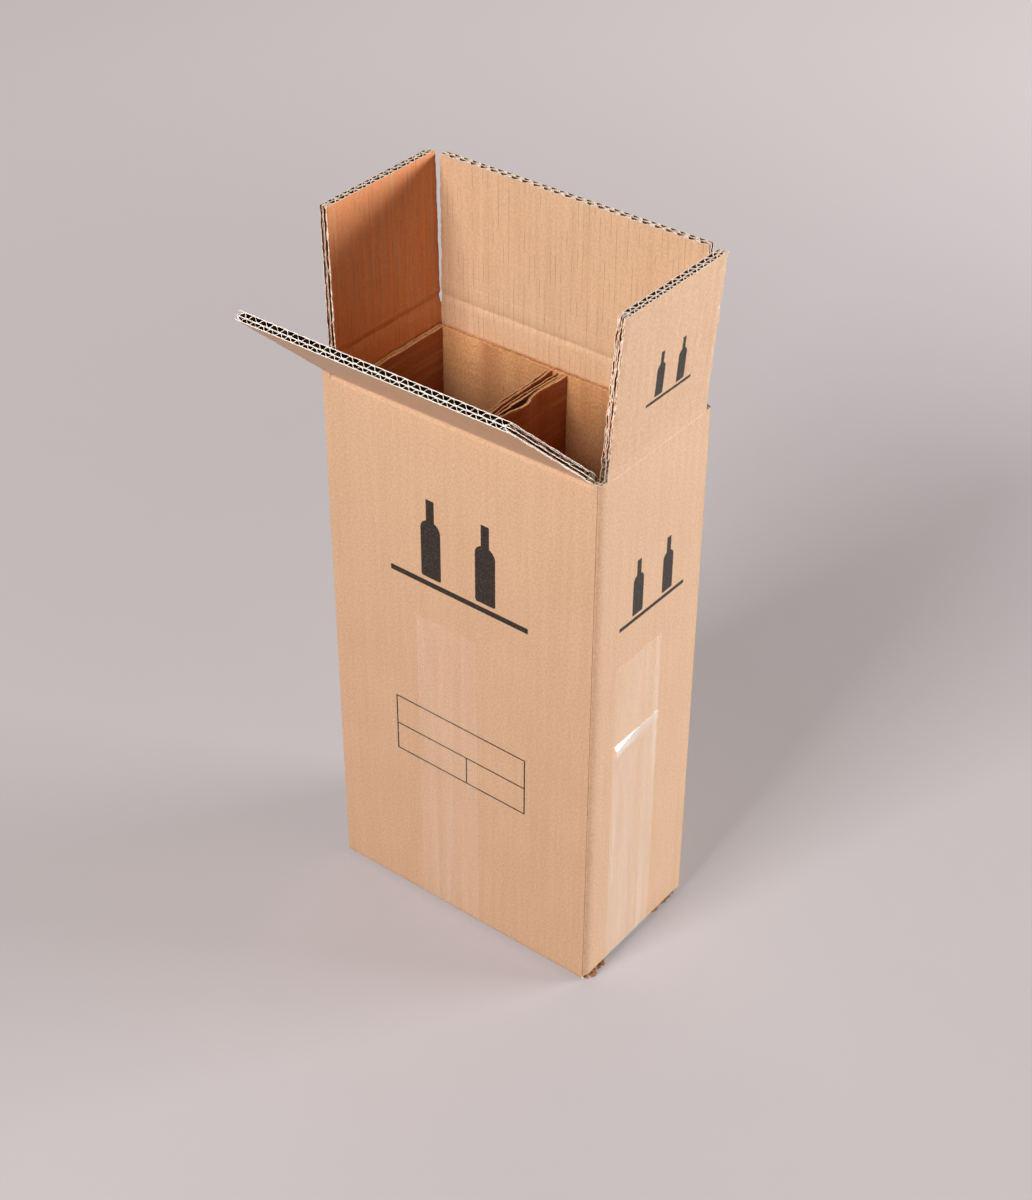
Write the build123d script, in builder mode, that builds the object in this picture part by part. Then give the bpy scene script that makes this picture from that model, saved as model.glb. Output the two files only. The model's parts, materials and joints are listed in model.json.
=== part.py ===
from build123d import *
from math import cos, radians, sin, sqrt
import os

os.makedirs("parts", exist_ok=True)

# A shipping carton for two bottles: one sheet of double-wall board folded into a
# carton, a folded single-wall divider inside it, and clear tape round its bottom.
# Origin: centre of the base, where it rests. Front face towards -Y, +Z up.
# All sizes are in millimetres, all angles in degrees.

# Carton board and outside
length = 216.0
depth = 116.0
board = 6.4
play = 0.3
fold_radius = 6.0
joint_radius = 4.0

# Top creases: the board is pressed thin there, and each flap turns about its axis
front_hinge_height = 409.6
crease_half = 0.8
crease_reach = 2.5
open_limit = 135.0
slot_inset = board + play
side_hinge_height = front_hinge_height + board + play
back_hinge_height = side_hinge_height + board + play

# Top flaps, from hinge axis to free edge, and how far each leans out of upright
side_tip_gap = 3.2
back_shortfall = 20.0
front_reach = sqrt((depth - board - play - crease_half) ** 2 - (board - crease_half) ** 2)
back_reach = depth - crease_half - back_shortfall
side_reach = length / 2 - crease_half - side_tip_gap
front_lean = 47.0
back_lean = 0.1
left_lean = 0.9
right_lean = 4.4

# Layers of the double-wall board, seen on the flaps' cut edges
liner = 0.5
small_pitch = 6.8
small_height = 1.95
large_pitch = 8.2
large_height = board - 3 * liner - small_height
wave_wall = 0.55
wave_crest = 1.1
channel_stop = 2.0

# Tape: three strips cross under the bottom and lift the board by their thickness
tape = 0.2
tape_width = 50.0
base_level = 3 * tape
side_tape_shift = -10.8
side_tape_height = 262.0
side_tape_far_height = 190.0
cover_tape_shift = -9.6
cover_tape_height = 198.0
cover_tape_far_height = 150.0
front_tape_shift = -11.0
front_tape_height = 252.0
front_tape_far_height = 200.0

# Bottom: the long flaps meet over the tape, and the short ones lie on them
seam_gap = 1.0
bottom_fold_radius = 5.0
side_fold_radius = 4.0
fold_drop = 2.5
column_foot = 2.4
short_flap_level = base_level + board + play
floor_level = short_flap_level + board

# Glue tab inside the front left corner
tab_width = 35.0
tab_board = 3.6
tab_margin = 10.0

# Divider insert of single-wall board
insert_board = 4.0
insert_side_gap = 1.0
insert_back_gap = 0.8
insert_tab_gap = 0.6
insert_rim_gap = 5.0
insert_radius = 2.5
divider_drop = 1.5
divider_slit = 0.4
divider_end_gap = 0.3
left_splay = 6.5
right_splay = 0.8

half_length = length / 2
half_depth = depth / 2
closed_level = front_hinge_height - board + crease_half


def crease_top(height):
    """Top outline of a wall at its crease: points of inward distance and height."""
    reach = crease_half + play
    turn = radians(open_limit)
    wall_top = height - board + crease_half - play
    knee = crease_half + reach * (sin(turn) - 1) / cos(turn)
    outer_top = height - (reach - crease_half * cos(turn)) / sin(turn)
    return [
        (board, wall_top),
        (2 * crease_half, wall_top),
        (2 * crease_half, height - reach),
        (knee, height - reach),
        (0, outer_top),
    ]


def wall_plane(side):
    """Plane across a wall: local x runs inward from the outer face, local y is up."""
    return {
        "front": Plane(origin=(0, -half_depth, 0), x_dir=(0, 1, 0), z_dir=(1, 0, 0)),
        "back": Plane(origin=(0, half_depth, 0), x_dir=(0, -1, 0), z_dir=(-1, 0, 0)),
        "left": Plane(origin=(-half_length, 0, 0), x_dir=(1, 0, 0), z_dir=(0, -1, 0)),
        "right": Plane(origin=(half_length, 0, 0), x_dir=(-1, 0, 0), z_dir=(0, 1, 0)),
    }[side]


def long_wall(side, height):
    """Front or back wall between its slots, folded into its bottom flap."""
    flap_end = half_depth - seam_gap / 2
    with BuildSketch(wall_plane(side)) as profile:
        Polygon(
            (0, base_level),
            (flap_end, base_level),
            (flap_end, base_level + board),
            (board, base_level + board),
            *crease_top(height),
            align=None,
        )
        fillet(vertices().group_by(Axis.Y)[0].sort_by(Axis.X)[0], radius=bottom_fold_radius)
    extrude(profile.sketch, amount=half_length - slot_inset, both=True)


def short_wall(side, height):
    """Left or right wall between its slots, folded into its bottom flap."""
    flap_end = half_depth - seam_gap / 2
    foot = short_flap_level - fold_drop
    with BuildSketch(wall_plane(side)) as profile:
        Polygon(
            (0, foot),
            (board, foot),
            (board, short_flap_level),
            (flap_end, short_flap_level),
            (flap_end, floor_level),
            (board, floor_level),
            *crease_top(height),
            align=None,
        )
        fillet(vertices().group_by(Axis.Y)[0].sort_by(Axis.X)[0], radius=side_fold_radius)
    extrude(profile.sketch, amount=half_depth - slot_inset, both=True)


# Carton body: the sheet's four walls, closed below by its bottom flaps and glued at
# the front left corner, where a tab lies inside the front wall
with BuildPart() as carton_body:
    # the folded corners, between the ends of the slots
    with BuildSketch(Plane.XY.offset(base_level + column_foot)):
        Rectangle(length, depth)
        right_folds = vertices().group_by(Axis.X)[-1]
        left_fold = vertices().group_by(Axis.X)[0].sort_by(Axis.Y)[-1]
        fillet([*right_folds, left_fold], radius=fold_radius)
        Rectangle(length - 2 * board, depth - 2 * board, mode=Mode.SUBTRACT)
        Rectangle(length - 2 * slot_inset, depth, mode=Mode.SUBTRACT)
        Rectangle(length, depth - 2 * slot_inset, mode=Mode.SUBTRACT)
    extrude(amount=front_hinge_height - base_level - column_foot)

    long_wall("front", front_hinge_height)
    long_wall("back", back_hinge_height)
    short_wall("left", side_hinge_height)
    short_wall("right", side_hinge_height)

    # the left wall ends in the glue tab
    with BuildSketch(Plane.XY.offset(floor_level + tab_margin)):
        with Locations((-half_length + board, -half_depth + board)):
            Rectangle(tab_width, tab_board, align=(Align.MIN, Align.MIN))
    extrude(amount=closed_level - floor_level - 2 * tab_margin)

    # the tab's fold is round, which leaves a notch behind the front wall's raw edge
    with BuildSketch(Plane.XY.offset(base_level)):
        with Locations((-half_length, -half_depth + board)):
            Rectangle(joint_radius, joint_radius, align=(Align.MIN, Align.MIN))
        with Locations((-half_length + joint_radius, -half_depth + board + joint_radius)):
            Circle(joint_radius, mode=Mode.SUBTRACT)
    extrude(amount=side_hinge_height, mode=Mode.SUBTRACT)


def hinge_plane(outward, height, half_span, lean):
    """Plane of a flap on its hinge axis: z leans out of upright, y points inward."""
    tilt = radians(lean)
    up = Vector(0, 0, 1)
    return Plane(
        origin=outward * (half_span - crease_half) + up * height,
        x_dir=up.cross(outward),
        z_dir=up * cos(tilt) + outward * sin(tilt),
    )


def flute_cells(width, pitch, height, low):
    """A row of flute cells across a cut edge: trapezoids, base down and up in turn."""
    base = pitch - 2 * wave_wall - wave_crest
    count = int((width - 2 * liner - base) / pitch)
    for index in range(2 * count + 1):
        middle = (index - count) * pitch / 2
        below, above = (base, wave_crest) if index % 2 == 0 else (wave_crest, base)
        Polygon(
            (middle - below / 2, low),
            (middle + below / 2, low),
            (middle + above / 2, low + height),
            (middle - above / 2, low + height),
            align=None,
        )


def flap(plane, width, reach):
    """A top flap: local x along the hinge axis, y inward, z towards the free edge."""
    small_low = liner - crease_half
    large_low = small_low + small_height + liner
    with BuildPart() as piece:
        with BuildSketch(plane.offset(crease_reach)) as full_board:
            with Locations((0, -crease_half)):
                Rectangle(width, board, align=(Align.CENTER, Align.MIN))
        extrude(full_board.sketch, amount=reach - crease_reach)
        # the pressed crease, round at the hinge axis
        with BuildSketch(plane) as pressed:
            Rectangle(width, 2 * crease_half)
        extrude(pressed.sketch, amount=crease_reach)
        with BuildSketch(Plane(plane.origin, x_dir=plane.y_dir, z_dir=plane.x_dir)) as bead:
            Circle(crease_half)
        extrude(bead.sketch, amount=width / 2, both=True)
        # the flutes are open at the free edge and crushed shut above the crease
        with BuildSketch(plane.offset(reach)) as cells:
            flute_cells(width, small_pitch, small_height, small_low)
            flute_cells(width, large_pitch, large_height, large_low)
        extrude(cells.sketch, amount=crease_reach + channel_stop - reach, mode=Mode.SUBTRACT)
    return piece


# Top flaps, open as they stand
long_flap = length - 2 * slot_inset
short_flap = depth - 2 * slot_inset
front_plane = hinge_plane(Vector(0, -1, 0), front_hinge_height, half_depth, front_lean)
back_plane = hinge_plane(Vector(0, 1, 0), back_hinge_height, half_depth, back_lean)
left_plane = hinge_plane(Vector(-1, 0, 0), side_hinge_height, half_length, left_lean)
right_plane = hinge_plane(Vector(1, 0, 0), side_hinge_height, half_length, right_lean)
front_flap = flap(front_plane, long_flap, front_reach)
back_flap = flap(back_plane, long_flap, back_reach)
left_flap = flap(left_plane, short_flap, side_reach)
right_flap = flap(right_plane, short_flap, side_reach)

# Bottle insert: one strip of single-wall board folded into two cells. Its ends turn
# in at the middle of the front and run back side by side as the divider.
insert_half = half_length - board - insert_side_gap
insert_back = half_depth - board - insert_back_gap
insert_front = -half_depth + board + tab_board + insert_tab_gap
insert_rim = closed_level - insert_rim_gap
cell_half = insert_half - insert_board
cell_back = insert_back - insert_board
cell_front = insert_front + insert_board
slit_half = divider_slit / 2
left_front = -slit_half - insert_board
left_back = left_front - left_splay
right_front = slit_half + insert_board
right_back = right_front + right_splay

with BuildPart() as bottle_insert:
    with BuildSketch(Plane.XY.offset(floor_level)):
        with Locations((0, (insert_front + insert_back) / 2)):
            RectangleRounded(2 * insert_half, insert_back - insert_front, insert_radius)
        # the two cells
        Polygon(
            (-cell_half, cell_front),
            (left_front, cell_front),
            (left_back, cell_back),
            (-cell_half, cell_back),
            align=None,
            mode=Mode.SUBTRACT,
        )
        Polygon(
            (right_front, cell_front),
            (cell_half, cell_front),
            (cell_half, cell_back),
            (right_back, cell_back),
            align=None,
            mode=Mode.SUBTRACT,
        )
        # the wedge between the divider's two boards, open at the front
        Polygon(
            (-slit_half, insert_front),
            (slit_half, insert_front),
            (slit_half, cell_front),
            (right_back - insert_board, cell_back),
            (left_back + insert_board, cell_back),
            (-slit_half, cell_front),
            align=None,
            mode=Mode.SUBTRACT,
        )
        # the divider's ends stop just short of the back panel
        with Locations((0, cell_back)):
            Rectangle(
                2 * cell_half,
                divider_end_gap,
                align=(Align.CENTER, Align.MAX),
                mode=Mode.SUBTRACT,
            )
    extrude(amount=insert_rim - floor_level)
    # the divider is cut a little lower than the panels
    with BuildSketch(Plane.XY.offset(insert_rim)):
        with Locations((0, cell_front)):
            Rectangle(2 * cell_half, cell_back - cell_front, align=(Align.CENTER, Align.MIN))
    extrude(amount=-divider_drop, mode=Mode.SUBTRACT)


def tape_strip(plane, span, lift, bend, near_height, far_height):
    """Tape bent up round the bottom: local x across the carton to its near side, y up."""
    middle = span / 2 + lift + tape / 2
    low = base_level - lift - tape / 2
    with BuildPart() as strip:
        with BuildSketch(plane) as band:
            with BuildLine():
                FilletPolyline(
                    (-middle, far_height),
                    (-middle, low),
                    (middle, low),
                    (middle, near_height),
                    radius=bend + lift + tape / 2,
                )
            trace(line_width=tape)
        extrude(band.sketch, amount=tape_width / 2, both=True)
    return strip


def across(shift, toward, axis):
    """Plane through the carton, shifted along its own normal from the middle."""
    return Plane(origin=(0, 0, 0), x_dir=toward, z_dir=axis).offset(shift)


# Clear tape: two strips from side to side, one on the other, and one from front to
# back under both
side_tape = tape_strip(
    across(-side_tape_shift, (1, 0, 0), (0, -1, 0)),
    length,
    0,
    slot_inset,
    side_tape_height,
    side_tape_far_height,
)
cover_tape = tape_strip(
    across(-cover_tape_shift, (1, 0, 0), (0, -1, 0)),
    length,
    tape,
    slot_inset,
    cover_tape_height,
    cover_tape_far_height,
)
front_tape = tape_strip(
    across(-front_tape_shift, (0, -1, 0), (-1, 0, 0)),
    depth,
    2 * tape,
    bottom_fold_radius,
    front_tape_height,
    front_tape_far_height,
)

pieces = {
    "carton_body": carton_body,
    "front_flap": front_flap,
    "back_flap": back_flap,
    "left_flap": left_flap,
    "right_flap": right_flap,
    "bottle_insert": bottle_insert,
    "side_tape": side_tape,
    "cover_tape": cover_tape,
    "front_tape": front_tape,
}
for name, piece in pieces.items():
    piece.part.label = name
    export_step(piece.part, f"parts/{name}.step")
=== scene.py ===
import bpy
import json
import math
import numpy as np
from mathutils import Matrix, Vector


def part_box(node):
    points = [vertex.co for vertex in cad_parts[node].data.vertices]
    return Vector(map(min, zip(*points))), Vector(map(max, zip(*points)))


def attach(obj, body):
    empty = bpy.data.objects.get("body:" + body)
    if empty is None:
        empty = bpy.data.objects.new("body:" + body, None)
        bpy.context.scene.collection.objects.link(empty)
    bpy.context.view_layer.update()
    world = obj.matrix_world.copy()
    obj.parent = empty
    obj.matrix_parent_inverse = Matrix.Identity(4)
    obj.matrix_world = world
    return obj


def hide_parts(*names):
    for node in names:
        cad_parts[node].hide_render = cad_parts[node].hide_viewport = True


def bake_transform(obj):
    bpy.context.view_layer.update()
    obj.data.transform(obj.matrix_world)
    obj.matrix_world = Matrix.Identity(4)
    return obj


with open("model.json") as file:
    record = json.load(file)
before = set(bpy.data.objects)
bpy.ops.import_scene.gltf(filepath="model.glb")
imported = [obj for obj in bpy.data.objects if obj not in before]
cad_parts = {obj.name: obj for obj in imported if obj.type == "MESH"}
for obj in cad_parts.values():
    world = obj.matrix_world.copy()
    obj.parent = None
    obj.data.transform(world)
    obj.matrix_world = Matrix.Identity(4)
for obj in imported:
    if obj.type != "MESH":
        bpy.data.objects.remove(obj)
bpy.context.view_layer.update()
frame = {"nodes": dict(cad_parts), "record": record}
scene = bpy.context.scene
scene.view_settings.view_transform = "Standard"

# The camera stands in front and to the right of the carton and looks down into it, where
# the photograph's corners and creases say that it stood.
camera_place = (0.70341, -0.91226, 1.09756)
camera_turn, camera_down, camera_roll = 37.58, 36.46, 0.29
focal_pixels, picture_height, sensor = 2158.64, 1200, 36.0

camera_data = bpy.data.cameras.new("photo_camera")
camera_data.sensor_width = sensor
camera_data.lens = focal_pixels * sensor / picture_height
camera = bpy.data.objects.new("photo_camera", camera_data)
scene.collection.objects.link(camera)
camera.matrix_world = (
    Matrix.Translation(camera_place)
    @ Matrix.Rotation(math.radians(camera_turn), 4, "Z")
    @ Matrix.Rotation(math.radians(90 - camera_down), 4, "X")
    @ Matrix.Rotation(math.radians(camera_roll), 4, "Z")
)
scene.camera = camera

# Studio light: a soft key lamp in front and above, a wide low panel to the right and behind, and
# a weak fill from behind on the left.
light_target = Vector((0, 0, 0.25))


def area_lamp(name, azimuth, elevation, distance, width, height, watts, colour):
    """A rectangular lamp at a bearing from +X towards +Y and a height above the floor."""
    turn, rise = math.radians(azimuth), math.radians(elevation)
    direction = Vector((math.cos(turn) * math.cos(rise), math.sin(turn) * math.cos(rise), math.sin(rise)))
    data = bpy.data.lights.new(name, "AREA")
    data.shape = "RECTANGLE"
    data.size, data.size_y = width, height
    data.energy = watts
    data.color = colour
    lamp = bpy.data.objects.new(name, data)
    lamp.location = light_target + direction * distance
    lamp.rotation_euler = direction.to_track_quat("Z", "Y").to_euler()
    scene.collection.objects.link(lamp)


area_lamp("key_lamp", -94, 35, 3.2, 1.2, 1.0, 98, (1.0, 1.0, 1.0))
area_lamp("side_panel", 42, 10, 3.6, 1.9, 0.9, 168, (0.91, 0.97, 1.0))
area_lamp("fill_panel", 130, 50, 2.4, 1.5, 1.5, 7, (1.0, 0.95, 0.90))


# The floor is one wide sheet of pale lilac-grey paper, and it fills the whole picture. Where it
# is seen it is a little paler than its light makes it, the more so further off.
class Wire:
    """A value in a material's node tree. Arithmetic on it adds Math nodes to the tree."""

    def __init__(self, tree, socket):
        self.tree = tree
        self.socket = socket

    def node(self, kind, settings, inputs, output=0):
        """A new node: its settings first, then each input's value or link. Returns one output."""
        made = self.tree.nodes.new(kind)
        for name, value in settings.items():
            setattr(made, name, value)
        feed(made, inputs)
        return Wire(self.tree, made.outputs[output])

    def maths(self, operation, other=0.0):
        return self.node("ShaderNodeMath", {"operation": operation}, {0: self, 1: other})

    def __add__(self, other):
        return self.maths("ADD", other)

    def __sub__(self, other):
        return self.maths("SUBTRACT", other)

    def __rsub__(self, other):
        return (self * -1.0).maths("ADD", other)

    def __mul__(self, other):
        return self.maths("MULTIPLY", other)

    def __truediv__(self, other):
        return self.maths("DIVIDE", other)

    def __abs__(self):
        return self.maths("ABSOLUTE")

    __radd__ = __add__

    def at_least(self, other):
        return self.maths("MAXIMUM", other)

    def at_most(self, other):
        return self.maths("MINIMUM", other)

    def rise(self, low, high):
        """0 below low, 1 above high and smooth between them."""
        settings = {"interpolation_type": "SMOOTHSTEP"}
        return self.node("ShaderNodeMapRange", settings, {0: self, 1: low, 2: high, 3: 0.0, 4: 1.0})

    def between(self, first, second):
        """The first colour where this value is 0, and the second where it is 1."""
        settings = {"data_type": "RGBA", "clamp_factor": True}
        return self.node("ShaderNodeMix", settings, {0: self, 6: first, 7: second}, 2)

    def tinted(self, colour, tint):
        """The colour as it is where this value is 0, and times the tint where it is 1."""
        settings = {"data_type": "RGBA", "blend_type": "MULTIPLY", "clamp_factor": True}
        return self.node("ShaderNodeMix", settings, {0: self, 6: colour, 7: tint}, 2)

    def axis(self, number):
        """One coordinate of this place: 0, 1 or 2 for x, y or z."""
        return self.node("ShaderNodeSeparateXYZ", {}, {0: self}, number)

    def noise(self, scale, detail, stretch=(1, 1, 1), shift=(0, 0, 0)):
        """Noise on this place, about 0 to 1, whose grain is stretched along each axis."""
        shrink = tuple(1 / s for s in stretch)
        placed = self.node("ShaderNodeMapping", {}, {"Vector": self, "Location": shift, "Scale": shrink})
        return self.node("ShaderNodeTexNoise", {}, {"Vector": placed, "Scale": scale, "Detail": detail})


def feed(node, inputs):
    """Links or sets inputs of a node, given by their names or numbers."""
    for name, value in inputs.items():
        if isinstance(value, Wire):
            value.tree.links.new(value.socket, node.inputs[name])
        else:
            node.inputs[name].default_value = value


def new_material(name):
    """An empty material. Returns it, its shader and the wire of its Object coordinates."""
    made = bpy.data.materials.new(name)
    made.use_nodes = True
    tree = made.node_tree
    shader = tree.nodes["Principled BSDF"]
    place = Wire(tree, None).node("ShaderNodeTexCoord", {}, {}, "Object")
    return made, shader, place


def connect(shader, **inputs):
    """Links or sets the shader's inputs, whose names have underscores for spaces here."""
    feed(shader, {name.replace("_", " "): value for name, value in inputs.items()})


def relief(height, strength, distance, under=None):
    """A Bump node for a height in the given distance, in metres, over another bump if there is one."""
    inputs = {"Height": height, "Strength": strength, "Distance": distance}
    if under is not None:
        inputs["Normal"] = under
    return height.node("ShaderNodeBump", {}, inputs)


def where_seen(place):
    """1 for what is seen straight, in a gloss or through something clear, and 0 for all other light."""
    rays = ("Is Camera Ray", "Is Glossy Ray", "Is Transmission Ray")
    return sum(place.node("ShaderNodeLightPath", {}, {}, ray) for ray in rays).at_most(1.0)


floor_size = 40.0
floor_material, floor_shader, place = new_material("floor_paper")
near_floor = place.noise(14.0, 2.0).between((0.432, 0.393, 0.399, 1), (0.442, 0.403, 0.409, 1))
floor_colour = place.axis(1).rise(0.5, 2.5).between(near_floor, (0.64, 0.58, 0.58, 1))
distance = place.node("ShaderNodeVectorMath", {"operation": "LENGTH"}, {0: place}, 1)
glow = distance.rise(0.35, 1.70).between((0.158, 0.145, 0.144, 1), (0.288, 0.268, 0.268, 1))
glow = distance.rise(2.5, 6.0).between(glow, (0.52, 0.48, 0.48, 1))
seen_glow = where_seen(place).between((0, 0, 0, 1), glow)
connect(floor_shader, Base_Color=floor_colour, Emission_Color=seen_glow, Emission_Strength=1.0)
connect(floor_shader, Roughness=0.85, Specular_IOR_Level=0.2)
floor_mesh = bpy.data.meshes.new("floor")
square = [(x * floor_size / 2, y * floor_size / 2, 0) for x, y in ((-1, -1), (1, -1), (1, 1), (-1, 1))]
floor_mesh.from_pydata(square, [], [(0, 1, 2, 3)])
floor_mesh.materials.append(floor_material)
floor = bpy.data.objects.new("floor", floor_mesh)
scene.collection.objects.link(floor)

# The room beyond the floor gives a very dim, warm and even light, and is seen as pale as the far
# floor.
dim_warm, far_pale = (0.050, 0.0275, 0.016, 1), (0.54, 0.49, 0.49, 1)
world = bpy.data.worlds.new("room")
world.use_nodes = True
room_colour = where_seen(Wire(world.node_tree, None)).between(dim_warm, far_pale)
connect(world.node_tree.nodes["Background"], Color=room_colour, Strength=1.0)
scene.world = world


# The carton is one sheet of double-wall corrugated board: three liners of brown paper with
# large flutes between the inner two and small flutes between the outer two.
body_high = np.array(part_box("carton_body")[1])
half_length, half_depth = body_high[:2]
hinges = {joint["name"].split("_")[0]: joint for joint in frame["record"]["behaviour"]["joints"]}
up = np.array((0.0, 0.0, 1.0))
board = 0.0064
crease_half = 0.0008
slot_inset = 0.0067
small_pitch, small_height = 0.0068, 0.0021
large_pitch, large_height = 0.0082, 0.0026
paper = (0.733, 0.456, 0.282, 1)
paper_dark = (0.607, 0.361, 0.208, 1)
dash_pitch = 0.0041
ink = (0.010, 0.004, 0.002, 1)


def wobble(distance, seed, longest, count=5):
    """A smooth irregular line about 0, mostly within 1: a sum of sines, each shorter than the last."""
    draw = np.random.default_rng(seed)
    total = np.zeros_like(distance)
    for step in range(count):
        wave = longest / 1.7 ** step
        total += np.sin(2 * np.pi * distance / wave + draw.uniform(0, 2 * np.pi)) / 1.3 ** step
    return total / 2.2


def length_along(line):
    """How far each point of a line is from its start, along the line."""
    return np.concatenate([[0], np.cumsum(np.linalg.norm(np.diff(line, axis=0), axis=1))])


def right_of(line):
    """Unit directions square to a flat line at each of its points, to its right."""
    ahead = np.gradient(line, axis=0)
    return np.stack([ahead[:, 1], -ahead[:, 0]], -1) / np.linalg.norm(ahead, axis=1)[:, None]


def sheet(face, back, row_rim=1, column_rim=1, back_slot=0, face_slot=0):
    """A closed sheet between two grids of points. Rims along the rows and the columns take their
    own material slots, and a rim's UV is the length along it and the share of the thickness."""
    rows, columns = face.shape[:2]
    count = rows * columns
    index = np.arange(count).reshape(rows, columns)
    quads = np.stack([index[:-1, :-1], index[:-1, 1:], index[1:, 1:], index[1:, :-1]], -1).reshape(-1, 4)
    faces = [quads, quads[:, ::-1] + count]
    slots = [np.full(len(quads), face_slot), np.full(len(quads), back_slot)]
    uvs = [np.zeros((len(quads) * 8, 2))]
    rims = (
        (face[0], index[0][::-1], row_rim),
        (face[-1], index[-1], row_rim),
        (face[:, 0], index[:, 0], column_rim),
        (face[:, -1], index[:, -1][::-1], column_rim),
    )
    for line, edge, slot in rims:
        along = length_along(line)
        near, far = edge[:-1], edge[1:]
        faces.append(np.stack([near, far, far + count, near + count], -1))
        slots.append(np.full(len(near), slot))
        flat, deep = np.zeros(len(near)), np.ones(len(near))
        ends = (along[:-1], flat, along[1:], flat, along[1:], deep, along[:-1], deep)
        uvs.append(np.stack(ends, -1).reshape(-1, 2))
    points = np.concatenate([face.reshape(-1, 3), back.reshape(-1, 3)])
    return points, np.concatenate(faces), np.concatenate(slots), np.concatenate(uvs)


def turned_outwards(points, faces):
    """Whether the closed sheet's faces point outwards, from the sign of the volume they hold."""
    corners = points[faces]
    first = np.einsum("ij,ij->i", corners[:, 0], np.cross(corners[:, 1], corners[:, 2]))
    second = np.einsum("ij,ij->i", corners[:, 0], np.cross(corners[:, 2], corners[:, 3]))
    return first.sum() + second.sum() > 0


def build(name, sheets, materials, crisp=40):
    """One object of all the sheets, smooth but for the edges where faces meet at over crisp degrees."""
    points, faces, slots, uvs = [], [], [], []
    start = 0
    for sheet_points, sheet_faces, sheet_slots, sheet_uvs in sheets:
        if not turned_outwards(sheet_points - sheet_points.mean(0), sheet_faces):
            sheet_faces = sheet_faces[:, ::-1]
            sheet_uvs = sheet_uvs.reshape(-1, 4, 2)[:, ::-1].reshape(-1, 2)
        points.append(sheet_points)
        faces.append(sheet_faces + start)
        slots.append(sheet_slots)
        uvs.append(sheet_uvs)
        start += len(sheet_points)
    mesh = bpy.data.meshes.new(name)
    mesh.from_pydata(np.concatenate(points).tolist(), [], np.concatenate(faces).tolist())
    mesh.polygons.foreach_set("material_index", np.concatenate(slots).astype(np.int32))
    mesh.uv_layers.new(name="cut").data.foreach_set("uv", np.concatenate(uvs).astype(np.float32).ravel())
    for material in materials:
        mesh.materials.append(material)
    mesh.polygons.foreach_set("use_smooth", np.ones(len(mesh.polygons), bool))
    mesh.set_sharp_from_angle(angle=math.radians(crisp))
    mesh.update()
    made = bpy.data.objects.new(name, mesh)
    scene.collection.objects.link(made)
    return made


def rounded_bar(across, height, middle, half_width, half_height, radius):
    """Distance outside a rounded rectangle, in metres: below 0 inside it."""
    side = (abs(across - middle[0]) - (half_width - radius)).at_least(0.0)
    rise = (abs(height - middle[1]) - (half_height - radius)).at_least(0.0)
    return (side * side + rise * rise).maths("SQRT") - radius


def bottle_mark(across, height, middle, tall):
    """Distance outside a plain bottle shape: body, shoulder and neck, in shares of its height."""
    shares = ((-0.19, 0.135, 0.31, 0.03), (0.10, 0.135, 0.14, 0.13), (0.30, 0.055, 0.20, 0.012))
    bars = []
    for rise, *sizes in shares:
        bar_middle = (middle[0], middle[1] + rise * tall)
        bars.append(rounded_bar(across, height, bar_middle, *(size * tall for size in sizes)))
    body, shoulder, neck = bars
    return body.at_most(shoulder).at_most(neck)


def bottle_pair(across, height, middle, tall, apart, shelf):
    """Distance outside two plain bottles that stand on a bar, about the middle of the bottles."""
    pair = bottle_mark(abs(across - middle[0]), height, (apart / 2, middle[1]), tall)
    thick = 0.035 * tall
    bar_middle = (middle[0], middle[1] - 0.5 * tall - 2.4 * thick)
    return pair.at_most(rounded_bar(across, height, bar_middle, shelf / 2, thick, 0.3 * thick))


def ruled_frame(across, height, low, high, line):
    """Distance outside the lines of a frame with one cross line and one upright below it."""
    middle = ((low[0] + high[0]) / 2, (low[1] + high[1]) / 2)
    half = ((high[0] - low[0]) / 2, (high[1] - low[1]) / 2)
    inside = (abs(across - middle[0]) - half[0]).at_least(abs(height - middle[1]) - half[1])
    cross_height = low[1] + 0.48 * (high[1] - low[1])
    upright = abs(across - (low[0] + 0.55 * (high[0] - low[0]))).at_least(height - cross_height)
    inner_lines = abs(height - cross_height).at_most(upright).at_least(inside)
    return abs(inside).at_most(inner_lines) - line / 2


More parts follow.
